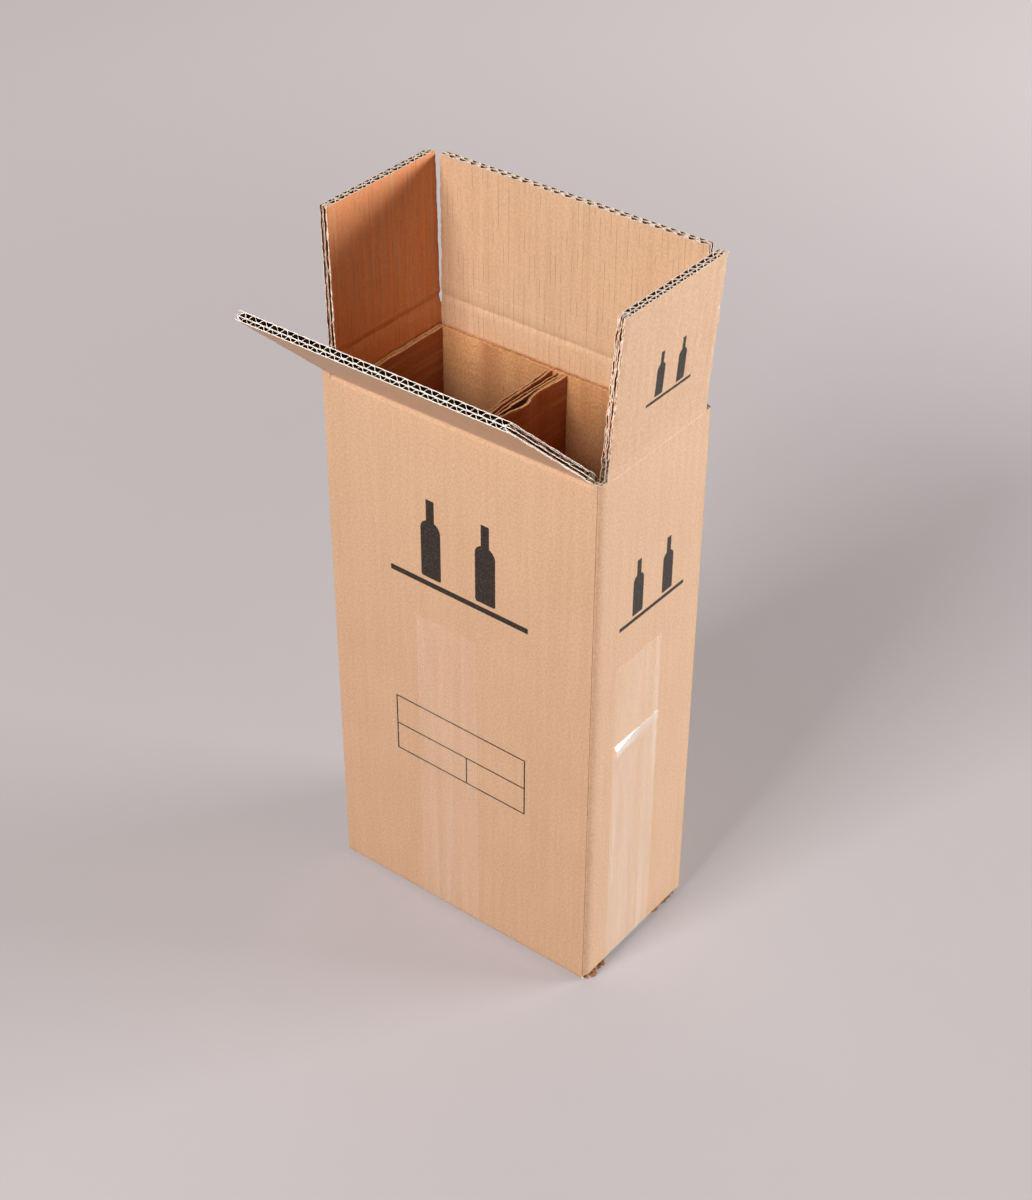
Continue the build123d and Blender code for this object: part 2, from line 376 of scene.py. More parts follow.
def board_paper(
    name, light, dark, across_flutes, dashes,
    grain=1.6, streaks=0.7, ribs=0.00004, marks=None, painted_shade=None, stretch=(1, 1, 30),
):
    """Brown liner: a mottle of short fibres, streaks and broken dashes along the flutes, and ribs
    where the flutes show through. across_flutes gives the distance across them, dashes, grain,
    streaks and ribs say how strong each of these is, stretch draws noise out along the flutes,
    marks gives printed shapes, and the argument after marks gives a place's share of a darker
    tint, and the tint: painted shade for surfaces that lie in shade."""
    made, shader, place = new_material(name)
    across = across_flutes(place)
    mottle = place.noise(620.0, 3.0)
    fibre = place.noise(1500.0, 2.0, (1, 1, 3.0))
    streak = place.noise(300.0, 4.0, stretch)
    cloud = place.noise(22.0, 2.0)
    drift = place.noise(60.0, 1.0) - 0.5
    line = abs((across / dash_pitch + drift * 0.3).maths("FRACT") - 0.5)
    broken = place.noise(230.0, 2.0, tuple(max(1, s / 6) for s in stretch)).rise(0.46, 0.60)
    dash = (1.0 - line.rise(0.0, 0.075)) * broken
    tone = (mottle * 1.7 + fibre * 0.8 - 1.25) * grain + (streak - 0.5) * streaks + cloud * 0.5 + 0.25
    colour = tone.between(dark, light)
    colour = (dash * dashes).between(colour, tuple(0.58 * c for c in dark[:3]) + (1,))
    # Painted shade: a streaky, darker tint over the places that lie in shade.
    if painted_shade is not None:
        share, tint = painted_shade
        colour = (share(place) * (streak * 2.0)).tinted(colour, tint)
    rough = 0.44 + fibre * 0.16
    if marks is not None:
        edge = fibre * 0.0006 - 0.0003
        printed = 1.0 - (marks(place) + edge).rise(-0.0002, 0.0002)
        solid = printed * (0.93 + place.noise(900.0, 2.0).rise(0.25, 0.6) * 0.07)
        colour = solid.between(colour, ink)
        rough = rough + printed * 0.25
    rib = (across / large_pitch * 2 * math.pi).maths("SINE")
    bumps = relief(fibre + mottle * 0.8, 0.5, 0.00008)
    bumps = relief(rib, 0.55, ribs, bumps)
    connect(shader, Base_Color=colour, Roughness=rough, Normal=bumps)
    return made


def cut_board(name, crosswise):
    """A cut edge of solid board, read from its UV: pale liner edges, and between them the flutes,
    seen end on where the cut runs across them and as torn slits where it runs along them. The rest
    is near-black: painted shade in the open flutes and slits."""
    made, shader, place = new_material(name)
    uv = place.node("ShaderNodeTexCoord", {}, {}, "UV")
    along, share = uv.axis(0), uv.axis(1)
    share = share + (place.noise(420.0, 2.0) - 0.5) * 0.10
    outer, middle, inner = (1.0 - abs(share - edge).rise(0.04, 0.09) for edge in (0.04, 0.42, 0.96))
    pale = outer.at_least(middle).at_least(inner)
    if crosswise:
        for pitch, centre, swing, thick in ((large_pitch, 0.69, 0.22, 0.13), (small_pitch, 0.23, 0.14, 0.12)):
            saw = abs((along / pitch).maths("FRACT") - 0.5) * 4 - 1
            pale = pale.at_least(1.0 - abs(share - centre - saw * swing).rise(0.05, thick))
    else:
        pale = pale.at_least(place.noise(700.0, 2.0).rise(0.46, 0.66) * 0.5)
    # Near-black between the pale paper: painted shade in the hollows of the flutes.
    colour = pale.between((0.10, 0.045, 0.018, 1), (0.88, 0.72, 0.56, 1))
    connect(shader, Base_Color=colour, Normal=relief(pale, 0.8, 0.0003))
    connect(shader, Roughness=0.9, Specular_IOR_Level=0.1)
    return made


def by_side(place):
    """Across the flutes is along the wall, whichever wall it is."""
    return place.axis(0) + place.axis(1)


def wall_marks(place):
    """The carton's print, a little askew: two bottles over a ruled frame in front, and two small
    bottles on the right."""
    x, y, z = [place.axis(number) for number in range(3)]
    front_height = z + x * 0.016
    front = bottle_pair(x, front_height, (-0.0005, 0.3165), 0.060, 0.044, 0.112)
    front = front.at_most(ruled_frame(x, front_height, (-0.0555, 0.1280), (0.0537, 0.1742), 0.0011))
    front = front.at_least(y - (0.001 - half_depth))
    right_height = z + y * 0.016
    right = bottle_pair(y, right_height, (0.0012, 0.3145), 0.041, 0.032, 0.070)
    return front.at_most(right.at_least((half_length - 0.001) - x))


def left_shade_share(place):
    """Where shade is painted: 1 on the inner liner of the left wall and its flap, and 0 on the other three.
    """
    return 1.0 - place.axis(0).rise(0.00005 - half_length + board, 0.00028 - half_length + board)


wall_paper = board_paper("wall_paper", paper, paper_dark, by_side, 0.10, marks=wall_marks)
inner_light, inner_dark = (0.810, 0.535, 0.336, 1), (0.696, 0.440, 0.260, 1)
# The inner liner of the left wall and its flap is tinted browner and darker: painted shade, for the deep
# shade it lies in behind the other flaps.
left_shade_tint = (0.97, 0.54, 0.30, 1)
inner_paper = board_paper(
    "inner_paper", inner_light, inner_dark, by_side, 0.90, 1.5, 1.8, 0.00010, painted_shade=(left_shade_share, left_shade_tint)
)
slit_edge = cut_board("slit_edge", False)
flute_edge = cut_board("flute_edge", True)
board_materials = (wall_paper, slit_edge, flute_edge, inner_paper)

# The walls go round from the raw edge of the front wall to the glue tab inside it. Each fold
# is pressed flat on its front side by a score and bulges a little beyond it.
fold_reach, fold_depth, score_depth = 0.0064, 0.0030, 0.0006
groove_depth, inner_bulge = 0.0013, 0.12
joint_radius, tab_width, tab_board, tab_slant = 0.004, 0.035, 0.0036, 0.0004
band_below, band_above = 0.010, 0.008
floor_level, column_top = 0.0137, hinges["front"]["pos_m"][2]
skin_top = column_top - band_below
front_left = np.array((-half_length, -half_depth))
corners = np.array([
    ((half_length, -half_depth), (1, 0), (0, 1)),
    ((half_length, half_depth), (0, 1), (-1, 0)),
    ((-half_length, half_depth), (-1, 0), (0, -1)),
])


def fold(corner, before, after):
    """Points round a fold, from the wall before it to the wall after it: a quarter of an ellipse
    that is short along the first wall and long along the second, with a score where it starts."""
    share = np.linspace(0, 1, 36)[:, None]
    turn = share * np.pi / 2
    start = corner - before * fold_depth
    line = start + before * fold_depth * np.sin(turn) + after * fold_reach * (1 - np.cos(turn))
    score = np.exp(-((share - 0.07) / 0.08) ** 2) * np.clip(share / 0.02, 0, 1) * score_depth
    return line + score * after


def quarter_turn(corner, before, after, radius, count):
    """Points round a corner, from one direction to the next: a quarter of a circle."""
    corner, before, after = (np.array(v, float) for v in (corner, before, after))
    angle = np.linspace(0, np.pi / 2, count)[:, None]
    return corner - before * radius + before * radius * np.sin(angle) + after * radius * (1 - np.cos(angle))


def evenly(start, end, count):
    """So many points evenly spaced between two, without the two."""
    return start + (end - start) * np.linspace(0, 1, count + 2)[1:-1, None]


def straight(start, end):
    """Points along a straight stretch, without its two ends, about 4 mm apart."""
    return evenly(start, end, max(3, int(np.linalg.norm(end - start) / 0.004)) - 2)


joint_corner = front_left + (0.0, board)
stretches = [(front_left[None], joint_corner[None])]


def add_bend(bend, inner_bend):
    """Goes straight on to the next bend and then round it, on the outer and on the inner line."""
    previous, inner_previous = (line[-1] for line in stretches[-1])
    run = straight(previous, bend[0])
    stretches.append((run, evenly(inner_previous, inner_bend[0], len(run))))
    stretches.append((bend, inner_bend))


for corner, before, after in corners:
    bend = fold(corner, before, after)
    centre = corner - board * before + board * after
    groove = np.sin(np.linspace(0, np.pi, len(bend)))[:, None] ** 2 * (before - after) * groove_depth
    add_bend(bend, centre + groove + (bend - bend.mean(0)) * inner_bulge)

joint = quarter_turn(joint_corner, (0, -1), (1, 0), joint_radius, 8)
inner_joint = joint_corner + (board, tab_board)
add_bend(joint, inner_joint + np.linspace(0, tab_slant, len(joint))[:, None] * (1, 0))
tab_end = joint_corner[None] + (board + tab_width, 0.0)
add_bend(tab_end, tab_end + (0.0, tab_board))
outside, inside = (np.concatenate(line) for line in zip(*stretches))


def upright_grid(plan, height):
    """A grid of points, from points on the floor plan and a grid of heights."""
    return np.concatenate([np.broadcast_to(plan, (*height.shape, 2)), height[..., None]], -1)


def upright_sheet(line, inner_line, low, high, step=0.012):
    """A wall: a line on the floor plan and its inner line, both carried up from low to high. Low
    is one height, or one for each point of the line."""
    low = np.broadcast_to(low, len(line))
    rows = max(2, int((high - low.min()) / step))
    rise = low + (high - low) * np.linspace(0, 1, rows)[:, None]
    return sheet(upright_grid(line, rise), upright_grid(inner_line, rise), row_rim=2, back_slot=3)


wall_sheets = [upright_sheet(outside, inside, floor_level, skin_top)]

# Above the skin each wall goes on between its slots to its own crease, and each corner stops at
# the ends of the slots. Below it the walls fold in as the bottom flaps, and the corners are torn.
torn_foot = 0.0072
sides = {
    "front": ((1, 0), (0, 1), half_depth, half_length),
    "back": ((-1, 0), (0, -1), half_depth, half_length),
    "left": ((0, -1), (1, 0), half_length, half_depth),
    "right": ((0, 1), (-1, 0), half_length, half_depth),
}


def plan_points(side, distances, depths):
    """Floor plan points at distances along a wall and depths in its inward direction, both measured
    from the carton's middle."""
    along, normal, _, _ = sides[side]
    return np.array(along) * distances[..., None] + np.array(normal) * np.array(depths)[..., None]


for side, (_, _, reach, half_width) in sides.items():
    top = hinges[side]["pos_m"][2] - band_below
    if top > skin_top + 0.001:
        span = np.linspace(slot_inset - half_width, half_width - slot_inset, 40)
        faces = [plan_points(side, span, inward - reach) for inward in (0.0, board)]
        wall_sheets.append(upright_sheet(*faces, skin_top, top, 0.004))

for corner, before, after in corners:
    line = fold(corner, before, after)
    slot_start, slot_end = corner - before * slot_inset, corner + after * slot_inset
    keep = np.linalg.norm(line - corner, axis=1) < slot_inset
    keep &= ((line - corner) @ after) < slot_inset - 1e-5
    line = np.concatenate([slot_start[None], line[keep], slot_end[None]])
    inner = np.repeat((corner - board * before + board * after)[None], len(line), 0)
    inner[0], inner[-1] = slot_start + board * after, slot_end - board * before
    wall_sheets.append(upright_sheet(line, inner, skin_top, column_top))
    on_side = slice(1, None) if after[0] == 0 else slice(0, -1)
    torn_line = torn_foot + 0.0010 * wobble(np.arange(len(line)) * 0.0003, 90, 0.005, 5)
    wall_sheets.append(upright_sheet(line[on_side], inner[on_side], torn_line[on_side], floor_level))

raw_line = np.array([front_left, front_left + (slot_inset, 0.0)])
wall_sheets.append(upright_sheet(raw_line, raw_line + (0.0, board), skin_top, column_top))


def folded_foot(side, outer, inner, start_gap=slot_inset, length=None):
    """A wall's foot and bottom flap: its section, as depth inwards and height, carried along the wall
    from a gap at its start over a length, or else up to the same gap at its end."""
    _, _, reach, half_width = sides[side]
    length = length or 2 * (half_width - start_gap)
    span = start_gap - half_width + np.linspace(0, length, 30)
    grids = [
        upright_grid(plan_points(side, span, section[:, :1] - reach), np.repeat(section[:, 1:], len(span), 1))
        for section in (outer, inner)
    ]
    return sheet(*grids, row_rim=2, back_slot=3)


base_level, long_radius, side_radius, fold_drop, seam = 0.0006, 0.005, 0.004, 0.0025, 0.0005
corner_gaps = {"front": (0.0, 0.0032), "back": (0.0042, 0.0042)}
flap_depth = np.linspace(0.009, half_depth - seam, 12)
arc = quarter_turn((0, base_level), (0, -1), (1, 0), long_radius, 10)
flat = np.stack([flap_depth, np.full(len(flap_depth), base_level)], 1)
outer = np.concatenate([[[0.0, floor_level]], arc, flat])
corner = np.repeat([[board, base_level + board]], len(arc), 0)
inner = np.concatenate([[[board, floor_level]], corner, flat + (0, board)])
foot_rows = len(arc) + 3
for side, (start_gap, end_gap) in corner_gaps.items():
    wall_sheets.append(folded_foot(side, outer, inner))
    far_start = 2 * half_length - slot_inset
    for gap, length in ((start_gap, slot_inset - start_gap), (far_start, slot_inset - end_gap)):
        wall_sheets.append(folded_foot(side, outer[:foot_rows], inner[:foot_rows], gap, length))

short_level = base_level + board + 0.0003
foot = short_level - fold_drop
arc = quarter_turn((0, foot), (0, -1), (1, 0), side_radius, 10)
lip = np.array([[board, foot + 0.0004], [board + 0.0006, short_level]])
flat = np.stack([flap_depth, np.full(len(flap_depth), short_level)], 1)
outer = np.concatenate([[[0.0, floor_level]], arc, lip, flat])
corner = np.repeat([[board, floor_level]], len(arc) + len(lip), 0)
inner = np.concatenate([[[board, floor_level + 0.0001]], corner, flat + (0, board)])
wall_sheets += [folded_foot(side, outer, inner) for side in ("left", "right")]

walls = build("carton_walls", wall_sheets, board_materials)


# The two long bottom flaps were torn rather than cut at their ends, so brown shreds of their liners
# and flutes stick out under the short walls.
taped_from = {"front": 0.025, "back": 0.033}


def torn_end(side, end, level, reach, seed):
    """One layer of a torn flap end: a thin strip along the flap's end at a level above the floor,
    up to where the tape holds it down, whose free edge is ragged and droops a little."""
    _, normal, depth_reach, half_width = sides[side]
    taped = taped_from[side]
    depth, share = np.meshgrid(np.linspace(0.0040, taped + 0.006, 220), np.linspace(0, 1, 5), indexing="ij")
    ragged = 0.78 + 0.30 * wobble(depth, seed, 0.014, 5) + 0.12 * wobble(depth, seed + 3, 0.0022, 4)
    torn_reach = reach * np.clip(ragged, 0, 1.15) / (1 + np.exp((depth - taped) / 0.0012))
    across = half_width - slot_inset - 0.001 + share * (0.0012 + torn_reach)
    droop = 0.0003 * wobble(depth, seed + 1, 0.008, 5) * share
    place_y = normal[1] * (depth - depth_reach)
    low_face = np.stack([end * across, place_y, level + droop - 0.0002], -1)
    return sheet(low_face, low_face + (0, 0, 0.0004))


shred_levels = (0.0009, 0.0018, 0.0028, 0.0038, 0.0048, 0.0058)
shred_reach = {"front": 0.0074, "back": 0.0046}
shreds = [
    torn_end(side, end, level, shred_reach[side] - 0.0004 * step, 300 + 17 * step + 5 * end + len(side))
    for side in ("front", "back")
    for end in (-1, 1)
    for step, level in enumerate(shred_levels)
]
shred_paper = board_paper("shred_paper", (0.84, 0.47, 0.22, 1), (0.24, 0.09, 0.03, 1), by_side, 0.0, 2.6)
torn_ends = build("bottom_torn_ends", shreds, (shred_paper, shred_paper))
for made in (walls, torn_ends):
    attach(made, "carton")
    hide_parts("carton_body")


# The top flaps are the same sheet cut at the slots. Their free edge is cut across the flutes, which
# stand open, and their sides were cut along them, so there the liners are pinched and torn.
def flap_frame(side):
    """The flap's hinge point, its wall's inward normal, its own directions along the hinge, inwards
    and to the free edge, and its lean."""
    joint = hinges[side]
    lean = math.radians(-joint["range_deg"][0] - 90)
    across, normal = (np.array((*way, 0.0)) for way in sides[side][:2])
    reach = up * math.cos(lean) - normal * math.sin(lean)
    inward = normal * math.cos(lean) + up * math.sin(lean)
    return np.array(joint["pos_m"], float), normal, across, inward, reach, lean


def flap_sizes(side):
    """Half the flap's width and its reach from the hinge, measured on its solid."""
    hinge, _, across, _, reach, _ = flap_frame(side)
    mesh = frame["nodes"][side + "_flap"].data
    points = np.zeros(len(mesh.vertices) * 3)
    mesh.vertices.foreach_get("co", points)
    points = points.reshape(-1, 3) - hinge
    return np.abs(points @ across).max(), (points @ reach).max()


def flap_sheet(side, across, inward, reach, thick, slope=0.0, **slots):
    """A thin sheet of the flap at rest, its two faces thick to each side of local grids along the
    hinge, inwards and to the free edge. Where it slopes across the flap, they stand square to it."""
    hinge, _, across_way, inward_way, reach_way, _ = flap_frame(side)
    length = np.sqrt(1 + slope ** 2)
    faces = []
    for offset in (-thick, thick):
        along = (across - slope / length * offset)[..., None] * across_way
        deep = (inward + offset / length)[..., None] * inward_way
        faces.append(hinge + along + deep + reach[..., None] * reach_way)
    return sheet(*faces, **slots)


outer_liner, middle_liner, inner_liner, flute_wall = 0.0005, 0.0006, 0.0005, 0.00023
pinch_width, squeeze_width, strip_depth = 0.0022, 0.0028, 0.0045
tear = {"front": 0.45, "back": 0.8, "left": 0.5, "right": 1.0}
torn_back = {"front": 0.0012, "back": 0.0008, "left": 0.0007, "right": 0.0001}
torn_thick = {"front": 0.00018, "back": 0.00018, "left": 0.00032, "right": 0.00032}
torn_strips = {"front": 1, "back": 1, "left": 2, "right": 3}
# How far down the flute walls stay pale under the free edge before the painted shade starts: the cut top, and
# below it painted light where the upper walls catch light, deepest on the back flap.
pale_top = {"front": 0.0003, "back": 0.0015, "left": 0.0009, "right": 0.0009}


def pinch(across, reach, half_width, seed):
    """How far a liner is pressed at the torn sides: an irregular depth that fades within 5 mm."""
    edge = np.exp(-((half_width - np.abs(across)) / pinch_width) ** 2)
    depth = 0.45 + 0.7 * wobble(reach + np.sign(across) * 0.7, seed, 0.027, 6)
    return edge * np.clip(depth, -0.1, 1.3)


def liner_sheet(side, cells, middle, thickness, seed, press, ripple, face_slot, back_slot):
    """One liner of a flap: a thin sheet, rippled over the flutes and pinched at its torn sides."""
    half_width, free = flap_sizes(side)
    rows = np.linspace(band_above - 0.0006, free, 90)
    reach, share = np.meshgrid(rows, np.linspace(-1, 1, cells), indexing="ij")
    ragged = 0.00028 + 0.00028 * tear[side] * wobble(reach + np.sign(share), seed + 1, 0.017, 6)
    across = share * (half_width - ragged)
    reach = reach - (reach > free - 1e-6) * (0.00022 + 0.0001 * wobble(across, seed + 2, 0.019))
    settled = np.clip((reach - band_above) / 0.006, 0, 1)
    inward = middle + ripple * settled * np.cos(2 * np.pi * across / large_pitch)
    inward = inward + press * tear[side] * settled * pinch(across, reach, half_width, seed)
    slots = {"column_rim": 2, "face_slot": face_slot, "back_slot": back_slot}
    return flap_sheet(side, across, inward, reach, thickness / 2, **slots)


def flute_sheet(side, middle, height, pitch, seed, top=False):
    """One fluted layer of a flap: a thin wavy sheet that runs from the crease to near the free edge,
    or its pale top. Its section is a sine pushed towards flat crests and steep walls, and it is
    squeezed flat towards the torn sides."""
    half_width, free = flap_sizes(side)
    end = half_width - 0.0008
    # Below this reach the flute wall takes the near-black paper as painted shade; above it the pale cut paper
    # shows the cut top and paints the lit upper wall.
    shade_ends = free - pale_top[side]
    rows = np.linspace(shade_ends, free, 3) if top else np.linspace(band_above + 0.001, shade_ends, 5)
    reach, across = np.meshgrid(rows, np.linspace(-end, end, int(2 * end / pitch * 14)), indexing="ij")
    squeezed = 1 - tear[side] * np.exp(-((half_width - np.abs(across)) / squeeze_width) ** 2)
    phase = 2 * np.pi * across / pitch + 0.35 * wobble(across, seed, 0.05)
    crest = np.tanh(1.5 * np.sin(phase)) / math.tanh(1.5)
    section = middle + crest * (height / 2 - 0.00002) * squeezed
    reach = reach - (reach > free - 1e-6) * (0.00028 + 0.0001 * wobble(across, seed + 1, 0.011))
    slope = np.gradient(section[0], across[0])
    return flap_sheet(side, across, section, reach, flute_wall, slope, face_slot=int(top), back_slot=int(top))


def torn_sheet(side, middle, drift, seed, end):
    """A torn strip of fluting that stands between two liners at a slot-cut side: it wanders between
    them along the flap, and its edge is ragged."""
    half_width, free = flap_sizes(side)
    rows = np.linspace(band_above, free - 0.0003, 110)
    reach, depth = np.meshgrid(rows, np.linspace(0, 1, 5), indexing="ij")
    ragged = 0.0002 + torn_back[side] + 0.0008 * np.clip(0.5 + 0.6 * wobble(reach, seed, 0.012, 6), 0, 1.2)
    across = end * (half_width - strip_depth + depth * (strip_depth - ragged))
    inward = middle + drift * np.clip(wobble(reach, seed + 1, 0.034, 5) + (depth - 0.5) * 0.5, -1, 1)
    return flap_sheet(side, across, inward, reach, torn_thick[side], column_rim=2, face_slot=2, back_slot=2)


def flap_marks(place):
    """Two small bottles printed on the outside of the right flap."""
    return bottle_pair(place.axis(1), place.axis(2), (0.0035, 0.464), 0.030, 0.022, 0.046)


def along_front(place):
    """Across the front flap's flutes, in step with the front wall's."""
    return place.axis(0) - half_depth


# The front flap leans, so its noise is drawn out along y and z alike.
down_slope = (1, 30, 30)


def bare_paper(name, shade, pale, low, high, stretch=(1, 1, 1)):
    """The pale broken fibres of a cut or torn edge: two colours in fine blotches."""
    made, shader, place = new_material(name)
    colour = place.noise(800.0, 3.0, stretch).rise(low, high).between(shade, pale)
    connect(shader, Base_Color=colour, Roughness=0.9)
    return made


front_cut = bare_paper("front_cut_paper", (0.88, 0.76, 0.63, 1), (1.00, 0.95, 0.88, 1), 0.35, 0.60)
other_cut = bare_paper("cut_paper", (0.96, 0.68, 0.50, 1), (1.00, 0.86, 0.73, 1), 0.35, 0.55)
torn_edge = bare_paper("torn_paper", (0.60, 0.30, 0.16, 1), (1.00, 0.76, 0.60, 1), 0.34, 0.56, (1, 1, 2.5))
# The fluting and the middle liner are near-black brown: painted shade, for the dark inside the open flutes
# and between the liners.
shaded_flute_paper = board_paper("shaded_flute_paper", (0.170, 0.065, 0.025, 1), (0.105, 0.038, 0.014, 1), by_side, 0.0)
flap_outside = board_paper("flap_outside", paper, paper_dark, by_side, 0.12)
outsides = dict.fromkeys(sides, flap_outside)
outsides["front"] = board_paper(
    "front_flap_outside", paper, paper_dark, along_front, 0.12, stretch=down_slope
)
outsides["right"] = board_paper("right_flap_outside", paper, paper_dark, by_side, 0.12, marks=flap_marks)
insides = dict.fromkeys(sides, inner_paper)
insides["front"] = board_paper(
    "front_flap_inside", inner_light, inner_dark, along_front, 0.90, 1.5, 1.8, 0.00010, stretch=down_slope
)

outer_middle = outer_liner / 2 - crease_half + 0.00004
small_middle = outer_liner - crease_half + small_height / 2
middle_middle = small_middle + small_height / 2 + middle_liner / 2
large_middle = middle_middle + middle_liner / 2 + large_height / 2
inner_middle = large_middle + large_height / 2 + inner_liner / 2
for number, side in enumerate(sides):
    cells = 211 if side in ("front", "back") else 115
    seed = 40 * number
    liners = {
        "outer_liner": (outsides[side], outer_middle, outer_liner, seed, 0.0008, 0.00003, 0, 3),
        "middle_liner": (shaded_flute_paper, middle_middle, middle_liner, seed + 5, 0.0007, 0.00005, 0, 0),
        "inner_liner": (insides[side], inner_middle, inner_liner, seed + 9, -0.0009, 0.00005, 3, 0),
    }
    flutes = {
        "small_flutes": (small_middle, small_height, small_pitch, seed + 13, 0.0006, seed + 21),
        "large_flutes": (large_middle, large_height, large_pitch, seed + 17, 0.0010, seed + 25),
    }
    layers = {}
    for layer, (layer_paper, *shape) in liners.items():
        layers[layer] = (layer_paper, [liner_sheet(side, cells, *shape)])
    for layer, (middle, height, pitch, flute_seed, drift, torn_seed) in flutes.items():
        layer_sheets = [flute_sheet(side, middle, height, pitch, flute_seed, top) for top in (False, True)]
        for end in (-1, 1):
            for strip in range(torn_strips[side]):
                layer_sheets.append(torn_sheet(side, middle, drift, torn_seed + 60 * strip + end, end))
        layers[layer] = (shaded_flute_paper, layer_sheets)
    for layer, (layer_paper, layer_sheets) in layers.items():
        papers = (layer_paper, front_cut if side == "front" else other_cut, torn_edge, shaded_flute_paper)
        made = build(f"{side}_flap_{layer}", layer_sheets, papers, 60)
        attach(made, side + "_flap")
        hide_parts(side + "_flap")


# Between each wall and its flap the board is pressed into a soft band, bent to the flap's lean at rest.
# Its outer side keeps two fine score lines, and its inner side sinks into a shallow trough.
blend_low, blend_high = -0.0035, 0.0020
line_width, line_depth, press_width, press_depth = 0.0007, 0.00018, 0.0005, 0.00016
trough_below, trough_above, trough_end, trough_round = 0.0085, 0.0070, 0.0004, 0.0004
trough_lines = {"front": -0.0010, "back": -0.0038, "left": 0.0022, "right": 0.0020}
side_score = (-0.0068, 0.0032)
score_lines = {"front": (-0.0030, 0.0040), "back": (-0.0060, 0.0030), "left": side_score, "right": side_score}


def crease_points(side, across, inward, height):
    """Points of the band: given upright about the hinge, then leant with the flap by a share that
    goes smoothly from 0 on the wall to 1 on the flap."""
    hinge, normal, across_way, _, _, lean = flap_frame(side)
    share = np.clip((height - blend_low) / (blend_high - blend_low), 0, 1)
    angle = lean * share * share * (3 - 2 * share)
    turned_in = inward * np.cos(angle) - height * np.sin(angle)
    turned_up = inward * np.sin(angle) + height * np.cos(angle)
    return hinge + across[..., None] * across_way + turned_in[..., None] * normal + turned_up[..., None] * up


for number, side in enumerate(sides):
    half_width, _ = flap_sizes(side)
    heights = np.linspace(-band_below, band_above, 73)
    height, across = np.meshgrid(heights, np.linspace(-half_width, half_width, 90), indexing="ij")
    lines = sum(np.exp(-((height - line) / line_width) ** 2) for line in score_lines[side])
    past_low, past_high = (1 / (1 + np.exp(-(height - line) / press_width)) for line in score_lines[side])
    fade = np.clip((band_below + height) / 0.002, 0, 1) * np.clip((band_above - height) / 0.002, 0, 1)
    outer = -crease_half + fade * (line_depth * lines + press_depth * (past_low - past_high))
    from_line = height - trough_lines[side] - 0.0002 * wobble(across, 60 + number, 0.05)
    rounded = np.sqrt(from_line ** 2 + trough_round ** 2)
    below_reach = min(trough_below, band_below + trough_lines[side] - trough_end)
    above_reach = min(trough_above, band_above - trough_lines[side] - trough_end)
    share = np.clip(1 - rounded / np.where(from_line < 0, below_reach, above_reach), 0, 1)
    trough = (0.17 * below_reach + 0.0002 * wobble(across, 70 + number, 0.03)) * share ** 2
    seated = 0.00003 * np.clip((height - band_above + 0.001) / 0.0005, 0, 1)
    face = crease_points(side, across, outer, height)
    back = crease_points(side, across, board - crease_half - trough - seated, height)
    band_papers = (flap_outside, slit_edge, flute_edge, inner_paper)
    band = build(f"{side}_crease_band", [sheet(face, back, 2, 1, 3)], band_papers, 50)
    hinge, normal, _, _, _, lean = flap_frame(side)
    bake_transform(band)


# The divider insert is one strip of single-wall board whose flutes lie level. It is folded into two
# cells, and its two ends run back side by side, a little splayed and bowed, as the divider.
insert_low, insert_high = (np.array(corner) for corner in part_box("bottle_insert"))
insert_board, insert_liner = 0.004, 0.0009
insert_front, insert_back, insert_side = insert_low[1], insert_high[1], insert_high[0]
floor_height, rim_height = insert_low[2], insert_high[2]
divider_end = insert_back - insert_board - 0.0003
insert_light, insert_dark = (0.940, 0.520, 0.250, 1), (0.730, 0.355, 0.140, 1)


def level_flutes(place):
    """Across the insert's flutes is up."""
    return place.axis(2)


def cell_shade_share(place):
    """Where shade is painted: 0 on the insert's back panel, and 1 on its other panels and the divider."""
    return 1.0 - place.axis(1).rise(insert_back - insert_board - 0.0006, insert_back - insert_board + 0.0002)


def leaf_line(front, back):
    """The middle line of one divider leaf: a straight run from front to back."""
    share = np.linspace(0, 1, 120)
    depth = insert_front + insert_board / 2 + (divider_end - insert_front - insert_board / 2) * share
    return np.stack([front + (back - front) * share, depth], -1)


mid = insert_board / 2
left_x, right_x = -insert_side + mid, insert_side - mid
front_y, back_y = insert_front + mid, insert_back - mid
left_leaf = leaf_line(-0.0022, -0.0087)[::-1]
right_leaf = leaf_line(0.0022, 0.0030)
bend_radius, leaf_trim = 0.0022, 3
turns = (
    ((left_leaf[-1][0], front_y), (0, -1), (-1, 0)),
    ((left_x, front_y), (-1, 0), (0, 1)),
    ((left_x, back_y), (0, 1), (1, 0)),
    ((right_x, back_y), (1, 0), (0, -1)),
    ((right_x, front_y), (0, -1), (-1, 0)),
    ((right_leaf[0][0], front_y), (-1, 0), (0, 1)),
)
bends = [quarter_turn(*turn, bend_radius, 6) for turn in turns]
pieces = [left_leaf[:-leaf_trim], bends[0]]
for previous, bend in zip(bends, bends[1:]):
    pieces += [straight(previous[-1], bend[0]), bend]
strip_line = np.concatenate([*pieces, right_leaf[leaf_trim:]])
strip_length = length_along(strip_line)
to_cell = right_of(strip_line)
order = np.arange(len(strip_line))
past_front = strip_line[:, 1] > front_y + 0.003
on_left = (order < len(left_leaf) - leaf_trim) & past_front
on_right = (order > len(strip_line) - len(right_leaf) + leaf_trim - 1) & past_front

